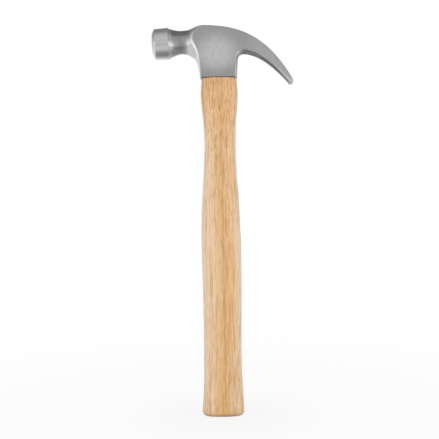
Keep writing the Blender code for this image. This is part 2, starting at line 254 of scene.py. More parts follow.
def mount(piece: Piece, material: Material, node: str) -> None:
    """Shades a finished piece and sets it on the frame in the place of a CAD node.

    Args:
        piece: Finished piece.
        material: Its finish.
        node: CAD node that it stands for.
    """
    piece.data.shade_smooth()
    piece.data.set_sharp_from_angle(angle=SHARP_ANGLE)
    piece.data.materials.clear()
    piece.data.materials.append(material)
    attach(piece, BODY)
    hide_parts(node)
    LOG.info("%s: %d faces, for node %s", piece.name, len(piece.data.polygons), node)


class Wire:
    """Output of a shader node. Sums, products and steps of wires add the nodes that work them out."""

    def __init__(self, graph: "Graph", socket: bpy.types.NodeSocket) -> None:
        """Holds the socket and the graph that it belongs to."""
        self.graph = graph
        self.socket = socket

    def math(self, operation: str, *values: "Wire | float") -> "Wire":
        """Result of a Math node that takes this value first."""
        return self.graph.node("Math", self, *values, operation=operation)

    def __add__(self, other: "Wire | float") -> "Wire":
        """Sum."""
        return self.math("ADD", other)

    def __sub__(self, other: "Wire | float") -> "Wire":
        """Difference."""
        return self.math("SUBTRACT", other)

    def __mul__(self, other: "Wire | float") -> "Wire":
        """Product."""
        return self.math("MULTIPLY", other)

    def __abs__(self) -> "Wire":
        """Size without its sign."""
        return self.math("ABSOLUTE")

    def rest(self) -> "Wire":
        """What is left of 1."""
        return self.math("MULTIPLY_ADD", -1.0, 1.0)

    def larger(self, other: "Wire") -> "Wire":
        """Larger of two values."""
        return self.math("MAXIMUM", other)

    def span(self, low: float, high: float, to_low: float = 0.0, to_high: float = 1.0) -> "Wire":
        """Smooth step from to_low where the value is below low, to to_high where it is above high."""
        bounds = (low, high, to_low, to_high)
        return self.graph.node("MapRange", self, *bounds, interpolation_type="SMOOTHSTEP")


Feed = Wire | float | Colour | None


class Graph:
    """Nodes of a material or a world, added and wired with short calls."""

    def __init__(self, tree: bpy.types.NodeTree, coordinates: str) -> None:
        """Takes over a node tree.

        Args:
            tree: Tree to add nodes to.
            coordinates: Texture coordinates that its patterns read.
        """
        self.nodes = tree.nodes
        self.links = tree.links
        self.place = self.node("TexCoord", output=coordinates)
        self.x, self.y, self.z = (self.node("SeparateXYZ", self.place, output=axis) for axis in "XYZ")

    def plug(self, socket: bpy.types.NodeSocket, value: Feed) -> None:
        """Feeds an input from a wire or sets it to a constant.

        Args:
            socket: Input to feed.
            value: Wire, number, colour or vector; None leaves the input as it is.
        """
        if isinstance(value, Wire):
            self.links.new(value.socket, socket)
        elif isinstance(value, tuple) and len(socket.default_value) == 4:
            socket.default_value = (*value, 1.0)
        elif value is not None:
            socket.default_value = value

    def node(self, kind: str, *values: Feed, output: str | int = 0, **settings: str) -> Wire:
        """One node.

        Args:
            kind: Type of the node without its prefix.
            values: Values of its first inputs, in order.
            output: Output to read.
            settings: Settings of the node by name.

        Returns:
            That output.
        """
        made = self.nodes.new("ShaderNode" + kind)
        for name, setting in settings.items():
            setattr(made, name, setting)
        for socket, value in zip(made.inputs, values):
            self.plug(socket, value)
        return Wire(self, made.outputs[output])

    def blend(self, share: Wire, first: Feed, second: Feed) -> Wire:
        """Colour at a share of the way from the first to the second, the inputs 6 and 7 of a Mix node."""
        return self.node("Mix", share, *[None] * 5, first, second, output=2, data_type="RGBA")

    def stretched(self, stretch: Vector, source: Wire | None = None) -> Wire:
        """Coordinates, the graph's own ones if no source is given, multiplied along each axis."""
        return self.node("Mapping", source or self.place, ORIGIN, ORIGIN, stretch)

    def noise(self, cells: Vector, detail: float, rough: float, source: Wire | None = None) -> Wire:
        """Noise from 0 to 1: cells per metre along each axis, octaves and the share of the finer ones."""
        return self.node("TexNoise", self.stretched(cells, source), None, 1.0, detail, rough)


class Paint(Graph):
    """Graph of a material with a Principled shader on object coordinates."""

    def __init__(self, name: str) -> None:
        """Starts the material.

        Args:
            name: Name of the material.
        """
        self.material = bpy.data.materials.new(name)
        self.material.use_nodes = True
        super().__init__(self.material.node_tree, "Object")
        self.shader = self.nodes["Principled BSDF"]
        self.colour: Feed = WHITE

    def painted(self, name: str) -> Wire:
        """Share stored on the mesh's points under a name."""
        return self.node("Attribute", output="Fac", attribute_name=name)

    def coat(self, share: Wire, colour: Feed) -> None:
        """Lays a colour over the colour so far."""
        self.colour = self.blend(share, self.colour, colour)

    def feed(self, **values: Feed) -> None:
        """Feeds inputs of the shader, named with _ for a space."""
        for name, value in values.items():
            self.plug(self.shader.inputs[name.replace("_", " ")], value)

    def finish(self, height: Wire, depth: float, strength: float) -> Material:
        """Material with the colour so far and a relief: its height, its depth in metres, its effect."""
        self.feed(Base_Color=self.colour, Normal=self.node("Bump", strength, depth, None, height))
        return self.material


class SteelPaint(Paint):
    """Graph with the patterns and zones that the layers of the head's steel share."""

    def __init__(self, name: str, steel: "ForgedSteel") -> None:
        """Adds mottling, grinding marks, the shares stored on the mesh and the neck's zones of painted
        shade and highlight.

        Args:
            name: Name of the material.
            steel: Finish that says where the zones lie.
        """
        super().__init__(name)
        self.cheek = self.painted("cheek_face")
        self.rough = self.painted("rough_face")
        # rubbing wear with painted highlights along the edges and at the tips
        self.rubbed = self.painted("worn_edge")
        self.mottle = self.noise((320.0, 320.0, 320.0), 4.0, 0.6)
        lines = self.noise((2400.0, 2400.0, 130.0), 2.0, 0.6)
        grain = self.noise((2800.0, 2800.0, 2800.0), 1.0, 0.5)
        self.marks = (lines + grain) * 0.5
        self.streaks = self.marks.span(0.3, 0.7, 0.6, 1.0)
        self.texture = self.cheek * 0.65 + 0.35
        # zones of the painted shade on the waist and on its cooler underside
        slanted = self.x - self.z.span(*steel.waist_slant)
        self.waist = self.x.span(*steel.waist_front) * slanted.span(*steel.waist_rear)
        self.belly = self.z.span(*steel.belly_top)
        self.along = self.z * steel.face_lean + self.x
        self.struck = self.along.span(*steel.face)


@dataclass(frozen=True)
class ForgedSteel:
    """Finish of the head: satin cheeks and claws, a brighter poll and neck, and rough inner claw faces."""

    # Colours
    bright: Colour = (0.562, 0.562, 0.562)
    dull: Colour = (0.458, 0.458, 0.458)
    # painted shade toward the outer parts of the cheeks and claws
    edge: Colour = (0.315, 0.315, 0.317)
    # painted highlights on the neck and the face's bevel, and wear on rubbed edges
    worn: Colour = (0.76, 0.76, 0.76)
    cool: Colour = (0.285, 0.300, 0.318)
    warm: Colour = (0.345, 0.315, 0.290)
    scale: Colour = (0.150, 0.156, 0.162)
    # painted shade on the waist; cooler below, to offset the handle's warm reflection
    neck: Colour = (0.250, 0.250, 0.250)
    belly: Colour = (0.335, 0.348, 0.368)
    face_grey: Colour = (0.400, 0.400, 0.400)
    # Gloss and relief
    satin: float = 0.44  # roughness of the cheeks
    polish: float = 0.22  # and of the poll
    neck_haze: float = 0.14  # what the neck adds to it
    belly_haze: float = 0.12
    skin_haze: float = 0.18
    face_haze: float = 0.17
    mark_haze: float = 0.20
    rubbed_gloss: float = 0.17  # what rubbed edges take from it
    relief: Point = (0.00005, 0.2)  # depth in metres and effect
    # Zones
    # painted shade on the cheeks: least at this middle, deepening at this rate
    middle: Point = (-0.002, 0.307)  # brightest point of the cheeks
    falloff: Point = (46.0, 52.0)  # how fast they darken along X and Z
    # the painted shade fades out at the tips and is lighter on the claws
    tip: Step = (0.0585, 0.0640, 1.0, 0.0)
    claw: Step = (0.020, 0.034, 1.0, 0.74)
    stain_height: Step = (0.2866, 0.2961, 0.9, 0.0)
    stain_end: Step = (0.0175, 0.0215, 1.0, 0.0)
    waist_front: Step = (-0.0428, -0.0380, 0.0, 0.9)
    waist_rear: Step = (-0.0291, -0.0245, 1.0, 0.0)
    waist_slant: Step = (0.3150, 0.3210, 0.0, 0.0022)
    belly_top: Step = (0.3085, 0.3135, 1.0, 0.0)
    # painted highlight: a bright patch on the neck behind the poll
    patch: Step = (-0.0395, -0.0368, 0.55, 0.0)
    patch_low: Span = (0.3088, 0.3118)
    patch_high: Step = (0.3135, 0.3166, 1.0, 0.0)
    # painted highlight on the flare in front of the cheeks
    flare: Step = (-0.0290, -0.0245, 0.0, 0.6)
    flare_top: Step = (0.3105, 0.3165, 0.35, 0.0)
    face_lean: float = 0.0524  # slope of the striking face
    face: Step = (-0.0397, -0.0393, 1.0, 0.0)
    # painted highlight on the lower half of the face's bevel
    bevel_start: Step = (-0.0394, -0.0391, 0.0, 0.6)
    bevel_end: Step = (-0.0377, -0.0373, 1.0, 0.0)
    bevel_top: Step = (0.3100, 0.3170, 1.0, 0.0)
    neck_start: Span = (-0.0430, -0.0410)

    def cheeks(self, paint: SteelPaint) -> None:
        """Mottled steel with painted shade that darkens it away from the middle of the cheeks, stained
        toward the mouth.

        Args:
            paint: Graph to add to.
        """
        x, z = paint.x, paint.z
        tone = ((paint.mottle + paint.marks) * 0.5 - 0.5) * paint.texture + 0.5
        paint.colour = paint.blend(tone.span(0.36, 0.64), self.dull, self.bright)
        # painted shade: the cheeks darken away from their middle, like the falloff of a reflection
        ahead = (x - self.middle[0]) * self.falloff[0]
        above = (z - self.middle[1]) * self.falloff[1]
        far = (ahead * ahead + above * above).math("SQRT").span(0.25, 1.1) * paint.cheek
        far = far * x.span(*self.tip) * x.span(*self.claw)
        paint.coat(far * 0.88, self.edge)
        low = z.span(*self.stain_height) * x.span(*self.stain_end)
        tint = paint.noise((85.0, 85.0, 150.0), 3.0, 0.6).span(0.42, 0.62)
        stain = paint.blend(tint, self.cool, self.warm)
        paint.coat(low * paint.mottle.span(0.2, 0.6, 0.6, 1.0), stain)

    def front(self, paint: SteelPaint) -> None:
        """Dark waist as painted shade; a bright patch behind the poll, a brighter flare and a brighter
        lower bevel as painted highlights; and a dull face.

        Args:
            paint: Graph to add to.
        """
        x, z, along = paint.x, paint.z, paint.along
        # painted shade: the waist darkened, cooler on its underside
        paint.coat(paint.waist, paint.blend(paint.belly, self.neck, self.belly))
        # painted highlight: a bright patch on the neck behind the poll
        patch = x.span(*self.patch) * paint.waist
        paint.coat(patch * z.span(*self.patch_low) * z.span(*self.patch_high), self.worn)
        # painted highlight on the flare
        flare = x.span(*self.flare) * paint.cheek.rest() * z.span(*self.flare_top)
        paint.coat(flare, self.worn)
        paint.coat(paint.struck * paint.streaks, self.face_grey)
        # painted highlight on the lower half of the face's bevel
        bevel = along.span(*self.bevel_start) * along.span(*self.bevel_end)
        paint.coat(bevel * z.span(*self.bevel_top), self.worn)

    def material(self) -> Material:
        """Grey steel whose grinding marks and mottling set colour, gloss and a fine relief.

        Returns:
            The material.
        """
        paint = SteelPaint("forged_steel", self)
        self.cheeks(paint)
        self.front(paint)
        paint.coat(paint.rough * paint.mottle.span(0.25, 0.75, 0.75, 1.0), self.scale)
        # rubbing wear with painted highlights along the edges and at the tips
        paint.coat(paint.rubbed * paint.streaks, self.worn)
        gloss = paint.cheek * (self.satin - self.polish - self.neck_haze) + self.polish
        gloss = gloss + paint.x.span(*self.neck_start, 0.0, self.neck_haze)
        gloss = gloss + paint.rough * self.skin_haze + paint.struck * self.face_haze
        gloss = gloss - paint.rubbed * self.rubbed_gloss + paint.waist * paint.belly * self.belly_haze
        gloss = gloss + (paint.marks - 0.5) * paint.texture * self.mark_haze
        paint.feed(Roughness=gloss, Metallic=1.0)
        return paint.finish((paint.mottle * 0.6 + paint.marks) * paint.texture, *self.relief)


class WoodPaint(Paint):
    """Graph with the patterns of the wood's grain, drawn out along the handle."""

    def __init__(self, name: str, pith: Point, rings: float) -> None:
        """Adds rings round the pith, swaying streaks, fibres, flecks and pores, and straight lines.

        Args:
            name: Name of the material.
            pith: Middle of the growth rings, in X and Y.
            rings: Rings per metre.
        """
        super().__init__(name)
        x, y, z = self.x, self.y, self.z
        self.slow = self.noise((34.0, 34.0, 11.0), 2.0, 0.5) - 0.5
        quick = self.noise((150.0, 150.0, 42.0), 2.0, 0.5) - 0.5
        sway = quick * 0.0018 + self.slow * 0.007
        self.bent = self.node("CombineXYZ", x + sway, y + sway, z)
        aside = x + sway - pith[0]
        deep = y - pith[1]
        ring = ((aside * aside + deep * deep).math("SQRT") * rings).math("FRACT")
        self.late = ring.span(0.05, 0.8) * ring.span(0.86, 1.0, 1.0, 0.0)
        self.broad = self.noise((60.0, 60.0, 4.0), 2.0, 0.5).span(0.35, 0.65)
        self.line = self.noise((620.0, 620.0, 2.6), 2.0, 0.5).span(0.36, 0.64, -0.5, 0.5)
        self.streak = self.swayed((240.0, 240.0, 5.0), 7.0, 0.72).span(0.3, 0.7)
        self.fibre = self.swayed((1250.0, 1250.0, 46.0), 2.0, 0.5).span(0.3, 0.7)
        self.fleck = self.swayed((820.0, 820.0, 190.0), 2.0, 0.55).span(0.40, 0.66, -0.5, 0.5)
        fine = self.swayed((2300.0, 2300.0, 130.0), 1.0, 0.5).span(0.58, 0.68, 0.0, 0.6)
        wide = self.swayed((1100.0, 1100.0, 95.0), 1.0, 0.5).span(0.56, 0.70, 0.0, 0.65)
        self.pores = fine.larger(wide) * ring.span(0.0, 0.4, 1.0, 0.3)

    def swayed(self, cells: Vector, detail: float, rough: float) -> Wire:
        """Noise that follows the swaying grain."""
        return self.noise(cells, detail, rough, self.bent)


@dataclass(frozen=True)
class LacqueredWood:
    """Finish of the handle: pale open-grained wood under clear lacquer."""

    # Colours
    # painted sheen: pale colours toward both edges of the handle
    pale: Colour = (0.975, 0.712, 0.468)
    rim: Colour = (0.985, 0.780, 0.560)
    cream: Colour = (0.915, 0.590, 0.290)
    tan: Colour = (0.820, 0.450, 0.168)
    brown: Colour = (0.540, 0.265, 0.085)
    pore: Colour = (0.430, 0.195, 0.058)
    # Gloss and relief
    lacquer: float = 0.32  # roughness of the clear coat
    lacquer_share: float = 0.8
    lacquer_index: float = 1.55
    rough: float = 0.45  # roughness of the wood
    fibre_haze: float = 0.12  # how much it varies from fibre to fibre
    relief: Point = (0.00010, 0.25)  # depth in metres and effect
    # Grain and zones
    rings: float = 430.0  # per metre
    pith: Point = (-0.055, 0.075)  # middle of the growth rings
    heart: float = 0.0022  # middle of the darker heartwood, along X
    heart_width: Step = (0.0005, 0.0080, 1.0, 0.0)
    heart_fade: Step = (0.10, 0.22, 1.0, 0.45)
    # where the painted sheen lies toward the edges
    sap_width: Span = (0.0045, 0.0115)
    sap_fade: Step = (0.225, 0.272, 1.0, 0.10)
    rim_width: Step = (0.0105, 0.0165, 0.0, 0.9)
    rim_rear: Span = (0.0110, 0.0150)
    shoulder: Step = (0.250, 0.281, 0.0, 0.19)
    fleck_rise: Step = (0.12, 0.281, 0.40, 1.0)
    pore_rise: Step = (0.15, 0.27, 0.45, 1.4)
    # darker wood round the butt's rim: end grain, and painted shade where the rim faces down
    butt: Step = (0.0006, 0.0034, 0.45, 0.0)

    def tone(self, paint: WoodPaint) -> Wire:
        """How dark the grain is: a weighted sum of its patterns.

        Args:
            paint: Graph to add to.

        Returns:
            Tone, with most values between 0 and 1.
        """
        off = abs(paint.x - self.heart + paint.slow * 0.02)
        heart = off.span(*self.heart_width) * paint.z.span(*self.heart_fade)
        fleck = paint.fleck * paint.z.span(*self.fleck_rise)
        tone = paint.broad * 0.10 + heart * 0.10 + paint.streak * 0.26 + paint.fibre * 0.75
        tone = tone + paint.late * 0.12 + fleck * 0.42 + paint.line * 0.16
        return tone + paint.z.span(*self.shoulder)

    def sapwood(self, paint: WoodPaint, tone: Wire) -> None:
        """Painted sheen: paler wood toward both edges, where the lacquer would catch the side lamps, broken
        up by the grain.

        Args:
            paint: Graph to add to.
            tone: How dark the grain is.
        """
        outer = abs(paint.x - self.heart + paint.slow * 0.012)
        share = outer.span(*self.sap_width) * paint.z.span(*self.sap_fade)
        share = share * tone.span(0.30, 0.85, 1.0, 0.48) * paint.streak.span(0.50, 0.90, 1.0, 0.35)
        share = share * paint.line.span(-0.05, 0.40, 1.0, 0.58)
        rim = outer.span(*self.rim_width).larger(paint.x.span(*self.rim_rear))
        paint.coat(share, paint.blend(rim, self.pale, self.rim))

    def material(self, name: str) -> Material:
        """Growth rings, fibres and pores drawn out along the handle, so its ends show end grain.

        Args:
            name: Name of the material.

        Returns:
            The material.
        """
        paint = WoodPaint(name, self.pith, self.rings)
        tone = self.tone(paint)
        paint.colour = paint.blend(tone.span(0.28, 0.86), self.cream, self.tan)
        paint.coat(tone.span(0.70, 1.18, 0.0, 0.6), self.brown)
        self.sapwood(paint, tone)
        pores = paint.pores * paint.z.span(*self.pore_rise)
        paint.coat(pores, self.pore)
        # darker butt rim: end grain, and painted shade where it faces down
        paint.coat(paint.z.span(*self.butt), self.brown)
        paint.feed(Roughness=paint.fibre * self.fibre_haze + (self.rough - self.fibre_haze / 2.0))
        paint.feed(Coat_Weight=self.lacquer_share, Coat_IOR=self.lacquer_index, Coat_Roughness=self.lacquer)
        return paint.finish(paint.fibre - pores * 2.0, *self.relief)


@dataclass(frozen=True)
class WedgeSteel:
    """Finish of the small steel wedges: dark rolled steel with a filed top."""

    dark: Colour = (0.20, 0.20, 0.205)
    filed: Colour = (0.45, 0.45, 0.455)
    relief: Point = (0.00005, 0.4)  # depth in metres and effect

    def material(self) -> Material:
        """Dark steel with bright file strokes.

        Returns:
            The material.
        """
        paint = Paint("wedge_steel")
        strokes = paint.noise((3000.0, 260.0, 900.0), 2.0, 0.6)
        paint.colour = paint.blend(strokes, self.dark, self.filed)
        paint.feed(Roughness=strokes * 0.3 + 0.3, Metallic=1.0)
        return paint.finish(strokes, *self.relief)


@dataclass(frozen=True)
class Eye:
    """Tapered hole through the head, which the handle's tenon fills."""

    size: Point = (0.0245, 0.0175)
    flare: float = 0.0005  # how far each wall leans out on its way up
    square: float = 4.0  # 2 is an ellipse, more is squarer

    def reaches(self, share: Array) -> tuple[Array, ...]:
        """Half length and half width at shares of the way from the mouth up to the crown."""
        return tuple(size / 2.0 + self.flare * share for size in self.size)


@dataclass
class Sections:
    """Cross sections of the head, one row each, between a lower and an upper line of the XZ plane."""

    lower: Array
    upper: Array
    core: Array
    half_width: Array | float
    spread: Array | float
    top_spread: Array | float
    top_power: Array | float
    low_round: Array | float
    top_round: Array | float = 0.0009
    facets: Array | float = 0.0
    slack: Array | float = 1.0

    def __post_init__(self) -> None:
        """Spreads plain numbers over all rows."""
        for name, value in list(vars(self).items()):
            setattr(self, name, np.full(len(self.lower), value) if np.ndim(value) == 0 else value)

    def __add__(self, other: "Sections") -> "Sections":
        """Sections of both, one after the other."""
        pairs = zip(vars(self).values(), vars(other).values())
        return Sections(*(np.concatenate(pair) for pair in pairs))

    def rise(self) -> Array:
        """Directions from the lower to the upper points."""
        step = self.upper - self.lower
        return step / np.linalg.norm(step, axis=1)[:, None]

    def reach(self, line: Array) -> Array:
        """Distances of the lower or upper points from the core, as a column."""
        return np.linalg.norm(line - self.core, axis=1)[:, None]


@dataclass
class Head:
    """Forged head: poll, faceted neck, cheeks with the socket, and curved claws with a nail slot."""

    # Striking face and poll
    face: float = -0.0568
    face_rings: Span = (0.0004, 0.0087)  # radii of the first and the last ring on the face
    face_radius: float = 0.0096
    face_curve: float = 0.074
    bevel_length: float = 0.0026
    bevel_radius: float = 0.0129
    poll_radius: float = 0.01335
    poll_length: float = 0.0142
    poll_back: Point = (0.0010, 0.0005)  # length and depth of the bevel behind the poll
    poll_trims: tuple[float, ...] = (0.0008, 0.0005, 0.0003)
    poll_gap: float = 0.0004  # from the poll to the first section of the neck
    # Neck
    waist: float = -0.031
    axis_height: float = 0.3174
    neck_radius: float = 0.0096
    neck_curve: float = 27.0  # parabola ahead of the waist
    under_curve: float = 41.3  # and behind it, below the axis
    side_curve: float = 35.0  # and to either side
    side_pole: float = 5.0e-9  # strength of the pole that turns it flat
    side_gap: float = 0.00003  # least distance from that pole
    droop: float = math.radians(3.0)
    lean_fade: Span = (-0.040, -0.026)
    facet_depth: float = 0.85
    facet_start: Span = (-0.0425, -0.0365)
    facet_end: Span = (-0.0300, -0.0225)
    poll_room: float = 0.004  # keeps the cheek planes off the poll
    room_fade: Span = (-0.040, -0.034)
    slack: float = 0.3  # how far the neck's rectangles stay outside its ellipses
    slack_fade: Span = (-0.027, -0.021)
    waist_top: float = 0.3270
    climb: float = 0.0165  # length of the rise from the waist to the crown
    flare_start: float = -0.0205
    top_widths: Line = (
        (-0.0310, 0.0096), (-0.0265, 0.0104), (-0.0223, 0.01245), (-0.0195, 0.0129),
        (-0.0170, 0.0138), (-0.0140, 0.0150), (0.0, 0.0160),
    )
    top_powers: Line = (
        (-0.0310, 2.0), (-0.0260, 2.4), (-0.0223, 3.2), (-0.0195, 4.2),
        (-0.0170, 6.5), (-0.0140, 14.0), (0.0, 30.0),
    )
    # Cheeks and socket
    cheek: float = 0.0125
    dome: float = 0.0005  # how far the cheeks bulge
    mouth: float = 0.2866
    mouth_fade: Span = (0.2868, 0.2886)
    front_foot: float = -0.0158
    rear_foot: float = 0.0153
    rear_top: float = 0.0161
    foot_trims: Span = (0.0007, 0.0007)
    wall: Line = ((-0.0205, 0.30325), (-0.01845, 0.3013), (-0.0178, 0.2970), (-0.0171, 0.2936))
    crown_stops: Step = (-0.0150, 0.0090, 0.0145, 0.0235)  # over both ends of the mouth and of the fillet
    core_limit: float = 0.72  # highest core, as a share of a section's height
    low_round: float = 0.0012
    mouth_round: float = 0.0004
    round_fade: Span = (0.0, 0.014)
    # Rounded rear edge of the cheeks
    bevel_foot: Point = (0.0152, 0.2846)
    bevel_share: float = 0.6  # of the claws' concave side that the bevel follows
    bevel_reach: float = 0.0021
    bevel_depth: float = 0.0042
    bevel_fade: Span = (0.0200, 0.0290)
    # Claws
    fillet: float = 0.0055
    fillet_centre: Point = (0.0216, 0.3025)
    claw_root: float = 0.0236
    claw_taper: Span = (0.35, 1.0)
    claw_core: Span = (0.44, 0.50)  # place of the core in the claws' thickness, at the root and past it
    core_shift: Span = (0.0, 0.12)
    claw_round: float = 0.0006
    round_shift: Span = (0.0, 0.25)
    round_limit: float = 0.45  # most that an edge takes of the claws' thickness
    tip_width: float = 0.01125
    tip_length: float = 0.0011
    tip_power: float = 2.6  # squareness of the rounded tips
    tip_end: float = 0.999  # share of their length at the last ring
    tip_way: Point = (0.25, -0.97)  # direction of the claws at their tips
    tip_taper: float = 0.0008
    tip_blunt: float = 0.00065
    blunt_shift: Span = (0.5, 1.0)
    outer: Line = ((-0.015, CROWN), (0.020, 0.3306), (0.0421, 0.3192), (0.0631, 0.2828))
    inner: Line = ((0.0217, 0.3080), (0.034, 0.3084), (0.0478, 0.2962), (0.0595, 0.2826))
    # Crease between the neck and the cheeks
    crease_width: float = 0.00035
    crease_loss: float = 0.00033
    crease_low: float = 1.2  # how much wider it is below
    crease_fade: Span = (-0.016, -0.012)
    upper_half: Span = (-0.35, 0.15)  # cosines over which a section's lower half turns into its upper
    # Eye and nail slot
    eye: Eye = Eye()
    slot_root: float = 0.36  # where the slot starts, as a share of the claws
    slot_bend: float = 0.04  # share of the slot that its round end takes
    slot_narrow: Point = (0.0010, 0.0041)
    slot_flare: float = 0.16
    slot_least: float = 0.05  # share of its width that the round end starts with
    slot_past: float = 1.12  # share of the slot's length at the end of its cutter
    slot_way: Point = (0.00136, -0.00788)  # from the tips to that end
    cut_margin: float = 0.004
    finish: ForgedSteel = ForgedSteel()

    def top_line(self, x: Array) -> Array:
        """Upper outline over the neck: a quintic step from the waist up to the crown."""
        t = np.clip((x - self.waist) / self.climb, 0.0, 1.0)
        return self.waist_top + (CROWN - self.waist_top) * t**3 * (10.0 - 15.0 * t + 6.0 * t**2)

    def crown_line(self, x: Array) -> Array:
        """Upper outline with the crown and the claws' outer line behind the neck."""
        line = bezier(self.outer, np.linspace(0.0, 1.0, LINE_POINTS))
        return np.where(x < self.outer[0][0], self.top_line(x), np.interp(x, line[:, 0], line[:, 1]))

    def axis(self, x: Array) -> Array:
        """Middle line of the neck and poll in the XZ plane, drooping ahead of the waist."""
        fall = np.minimum(x - self.waist, 0.0) * math.tan(self.droop)
        return np.stack((x, self.axis_height + fall), axis=1)

    def low_spread(self, x: Array) -> Array:
        """Half width of the flaring neck below its axis, without the cheek planes that cut it off.

        A parabola behind the waist, plus a pole at the socket's front foot, where it turns flat.

        Args:
            x: Places along the head.

        Returns:
            Half widths.
        """
        behind = np.maximum(x - self.waist, 0.0)
        short = np.maximum(self.front_foot - x, self.side_gap)
        return self.neck_radius + self.side_curve * behind**2 + self.side_pole / short**2

    def top_spread(self, x: Array) -> Array:
        """Half width of the flaring neck above its axis, where it turns square instead of wide."""
        return smooth_curve(x, *np.array(self.top_widths).T)

    def top_power(self, x: Array) -> Array:
        """Squareness of the section above the neck's axis: 2 is an ellipse, more is squarer."""
        return smooth_curve(x, *np.array(self.top_powers).T)

    def fillet_arc(self, count: int) -> Array:
        """Quarter circle from the socket's rear wall to the claws' underside, in so many points."""
        turn = np.linspace(math.pi, QUARTER, count)
        return np.stack((np.cos(turn), np.sin(turn)), axis=1) * self.fillet + self.fillet_centre

    def under_line(self, end: float) -> Array:
        """Outline under the claws: the fillet, then the concave side up to a share of its length."""
        return np.concatenate((self.fillet_arc(14), bezier(self.inner, np.linspace(0.03, end, 32))))

    def claw_lines(self, share: Array) -> tuple[Array, Array]:
        """Concave and outer line of the claws, paired point by point.

        Args:
            share: Shares of the way from the root to the tips.

        Returns:
            Points of the concave line and of the outer line.
        """
        way = np.linspace(0.0, 1.0, LINE_POINTS)
        root = np.interp(self.claw_root, bezier(self.outer, way)[:, 0], way)
        return bezier(self.inner, share), bezier(self.outer, mixed(root, 1.0, share))

    def bevel_cut(self, points: Array) -> Array:
        """Depth that the rounded rear edge takes off the cheeks.

        Within reach of the rear outline the cheek falls away along a quarter of an ellipse, which
        dies out under the claws.

        Args:
            points: Points of the XZ plane, in an array of any shape that ends in 2.

        Returns:
            Depths.
        """
        line = np.concatenate(([self.bevel_foot], self.under_line(self.bevel_share)))
        short = 1.0 - np.clip(gap_to_line(points, line) / self.bevel_reach, 0.0, 1.0)
        fade = falling(*self.bevel_fade, points[..., 0])
        return self.bevel_depth * fade * (1.0 - np.sqrt(1.0 - short**2))

    def poll(self) -> Sections:
        """Crowned face, bevel and poll: circles round the drooping axis.

        Returns:
            Sections from the face's middle to the edge behind the poll.
        """
        dish = np.append(np.linspace(*self.face_rings, 9), self.face_radius)
        dished = np.stack((dish**2 / (2.0 * self.face_curve), dish), axis=1)
        edge = np.array((
            *dished[-2:],
            (self.bevel_length, self.bevel_radius),
            (self.poll_length, self.poll_radius),
            (self.poll_length + self.poll_back[0], self.poll_radius - self.poll_back[1]),
        ))
        sides = trimmed(edge, self.poll_trims)
        wall = 2 * ROUND_POINTS  # where the straight side starts
        back = np.linspace(sides[wall], sides[wall + 1], 9)[1:-1]
        line = np.concatenate((dished[:-2], sides[:wall + 1], back, sides[wall + 1:-1]))
        x = self.face + line[:, 0] * math.cos(self.droop)
        radius = line[:, 1]
        return self.round_sections(x, radius, radius, radius, radius)

    def neck(self) -> Sections:
        """Waisted, faceted neck that flares up to the crown, down to the socket and out to the cheeks.

        Returns:
            Sections from the poll's edge to the front of the cheeks.
        """
        start = self.face + (self.poll_length + self.poll_gap) * math.cos(self.droop)
        x = np.concatenate((
            np.linspace(start, self.waist, 30, endpoint=False),
            np.linspace(self.waist, self.flare_start, 36, endpoint=False),
        ))
        away = x - self.waist
        front = self.neck_radius + self.neck_curve * away**2
        under = self.neck_radius + self.under_curve * away**2
        rear = (self.top_line(x) - self.axis_height, under, self.low_spread(x), self.top_spread(x))
        return self.round_sections(x, *(np.where(away < 0.0, front, reach) for reach in rear))

    def round_sections(
        self, x: Array, up: Array, down: Array, side: Array, top_side: Array
    ) -> Sections:
        """Sections round the neck's axis, leaning with it.

        Args:
            x: Places along the head.
            up: Reach above the axis.
            down: Reach below the axis.
            side: Half width of the lower half.
            top_side: Half width of the upper half.

        Returns:
            The sections.
        """
        lean = self.droop * falling(*self.lean_fade, x)
        rise = np.stack((-np.sin(lean), np.cos(lean)), axis=1)
        core = self.axis(x)
        return Sections(
            lower=core - rise * down[:, None],
            upper=core + rise * up[:, None],
            core=core,
            half_width=self.cheek + self.poll_room * falling(*self.room_fade, x),
            spread=side,
            top_spread=top_side,
            top_power=self.top_power(x),
            low_round=self.low_round,
            facets=self.facet_depth * rising(*self.facet_start, x) * falling(*self.facet_end, x),
            slack=1.0 + self.slack * falling(*self.slack_fade, x),
        )

    def block_outline(self) -> tuple[Array, Array]:
        """Lower and upper outline of the cheeks and the socket, paired point by point.

        Below: the front wall, the mouth, the rear wall and the fillet. Above: the crown.

        Returns:
            Lower points and upper points.
        """
        wall = bezier(self.wall, np.linspace(0.0, 1.0, 30, endpoint=False))
        corners = (
            self.wall[-1],
            (self.front_foot, self.mouth),
            (self.rear_foot, self.mouth),
            (self.rear_top, self.fillet_centre[1]),
        )
        foot = trimmed(np.array(corners), self.foot_trims)
        first, last, second = foot[1:ROUND_POINTS + 1], foot[-1], foot[ROUND_POINTS + 1:-1]
        front = np.linspace(foot[0], first[0], 18, endpoint=False)
        mouth = mixed(first[-1], second[0], eased(np.linspace(0.0, 1.0, 44)[1:-1, None]))
        rear = np.linspace(second[-1], last, 16)[1:]
        fillet = self.fillet_arc(18)[1:-1]
        lower = np.concatenate((wall, front, first, mouth, second, rear, fillet))
        half = ROUND_POINTS // 2
        stops = self.crown_stops
        over = np.linspace(0.0, 1.0, len(mouth) + ROUND_POINTS, endpoint=False)
        x = np.concatenate((
            np.linspace(self.flare_start, stops[0], len(wall) + len(front) + half, endpoint=False),
            mixed(stops[0], stops[1], eased(over)),
            np.linspace(stops[1], stops[2], len(rear) + half, endpoint=False),
            np.linspace(stops[2], stops[3], len(fillet)),
        ))
        return lower, np.stack((x, self.crown_line(x)), axis=1)

